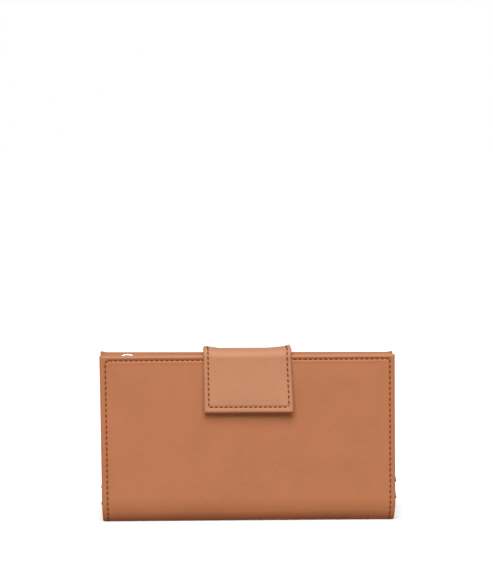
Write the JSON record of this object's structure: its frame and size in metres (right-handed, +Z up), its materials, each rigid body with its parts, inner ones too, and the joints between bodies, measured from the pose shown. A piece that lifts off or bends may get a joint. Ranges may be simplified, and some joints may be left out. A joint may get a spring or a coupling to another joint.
{
  "type": "long wallet",
  "caption": "Long bifold wallet in smooth tan leather with a snap-closed strap tab, stepped card slots, bill compartment and zipped coin pocket.",
  "frame": {"origin": "centre of the bottom of the closed wallet's bounding box", "axes": "+X along the wallet to the right seen from the front, +Y from the front leaf to the back leaf, +Z up"},
  "size_m": [0.184, 0.0292, 0.1085],
  "materials": {
    "cover_leather": "smooth matt, fine grain",
    "tab_lining": "smooth matt",
    "inner_leather": "smooth matt, fine grain",
    "lining_fabric": "fine twill weave",
    "board": "bonded fibre board",
    "zip_tape": "woven tape",
    "zip_metal": "bright nickel",
    "snap_metal": "bright nickel",
    "thread": "twisted thread"
  },
  "bodies": {
    "spine": {"spine_leather": "cover_leather", "spine_lining": "lining_fabric"},
    "front": {"front_cover_leather": "cover_leather", "front_board": "board", "front_lining": "lining_fabric", "snap_socket": "snap_metal", "front_card_slot_1": "inner_leather", "front_card_slot_2": "inner_leather", "front_card_slot_3": "inner_leather", "front_card_slot_4": "inner_leather"},
    "back": {"back_cover_leather": "cover_leather", "back_board": "board", "back_lining": "lining_fabric", "coin_pocket_front": "inner_leather", "coin_pocket_back": "inner_leather", "coin_gusset_left": "inner_leather", "coin_gusset_right": "inner_leather", "coin_gusset_bottom": "inner_leather", "bill_gusset_left": "inner_leather", "bill_gusset_right": "inner_leather", "bill_gusset_bottom": "inner_leather", "back_card_slot_1": "inner_leather", "back_card_slot_2": "inner_leather", "back_card_slot_3": "inner_leather", "zip_tape_front": "zip_tape", "zip_tape_back": "zip_tape", "zip_teeth_front": "zip_metal", "zip_teeth_back": "zip_metal", "zip_stops": "zip_metal", "tab_anchor_leather": "cover_leather", "tab_anchor_lining": "tab_lining"},
    "tab_bridge": {"tab_bridge_leather": "cover_leather", "tab_bridge_lining": "tab_lining"},
    "tab_flap": {"tab_flap_leather": "cover_leather", "tab_flap_lining": "tab_lining", "snap_stud": "snap_metal"},
    "zip_slider": {"zip_slider_body": "zip_metal", "zip_slider_crown": "zip_metal"},
    "zip_puller": {"zip_puller": "zip_metal"}
  },
  "joints": [
    {"name": "cover_open", "type": "hinge", "parent": "spine", "child": "front", "pos_m": [0, -0.01046, 0.00139], "axis": [1, 0, 0], "range_deg": [0, 90]},
    {"name": "back_fold", "type": "hinge", "parent": "spine", "child": "back", "pos_m": [0, 0.01076, 0.00139], "axis": [-1, 0, 0], "range_deg": [0, 87.75]},
    {"name": "tab_lift", "type": "hinge", "parent": "back", "child": "tab_bridge", "pos_m": [0, 0.0138, 0.10775], "axis": [-1, 0, 0], "range_deg": [0, 90]},
    {"name": "tab_bend", "type": "hinge", "parent": "tab_bridge", "child": "tab_flap", "pos_m": [0, -0.0138, 0.10775], "axis": [-1, 0, 0], "range_deg": [0, 90]},
    {"name": "zip_slide", "type": "slide", "parent": "back", "child": "zip_slider", "axis": [1, 0, 0], "range_m": [0, 0.15], "deforming": ["zip_teeth_front", "zip_teeth_back"]},
    {"name": "puller_turn", "type": "hinge", "parent": "zip_slider", "child": "zip_puller", "pos_m": [-0.075, 0.00055, 0.102], "axis": [0, -1, 0], "range_deg": [0, 180]}
  ],
  "couplings": [
    {"joint": "back_fold", "follows": "cover_open", "ratio": 0.975},
    {"joint": "tab_bend", "follows": "tab_lift", "ratio": 1}
  ]
}
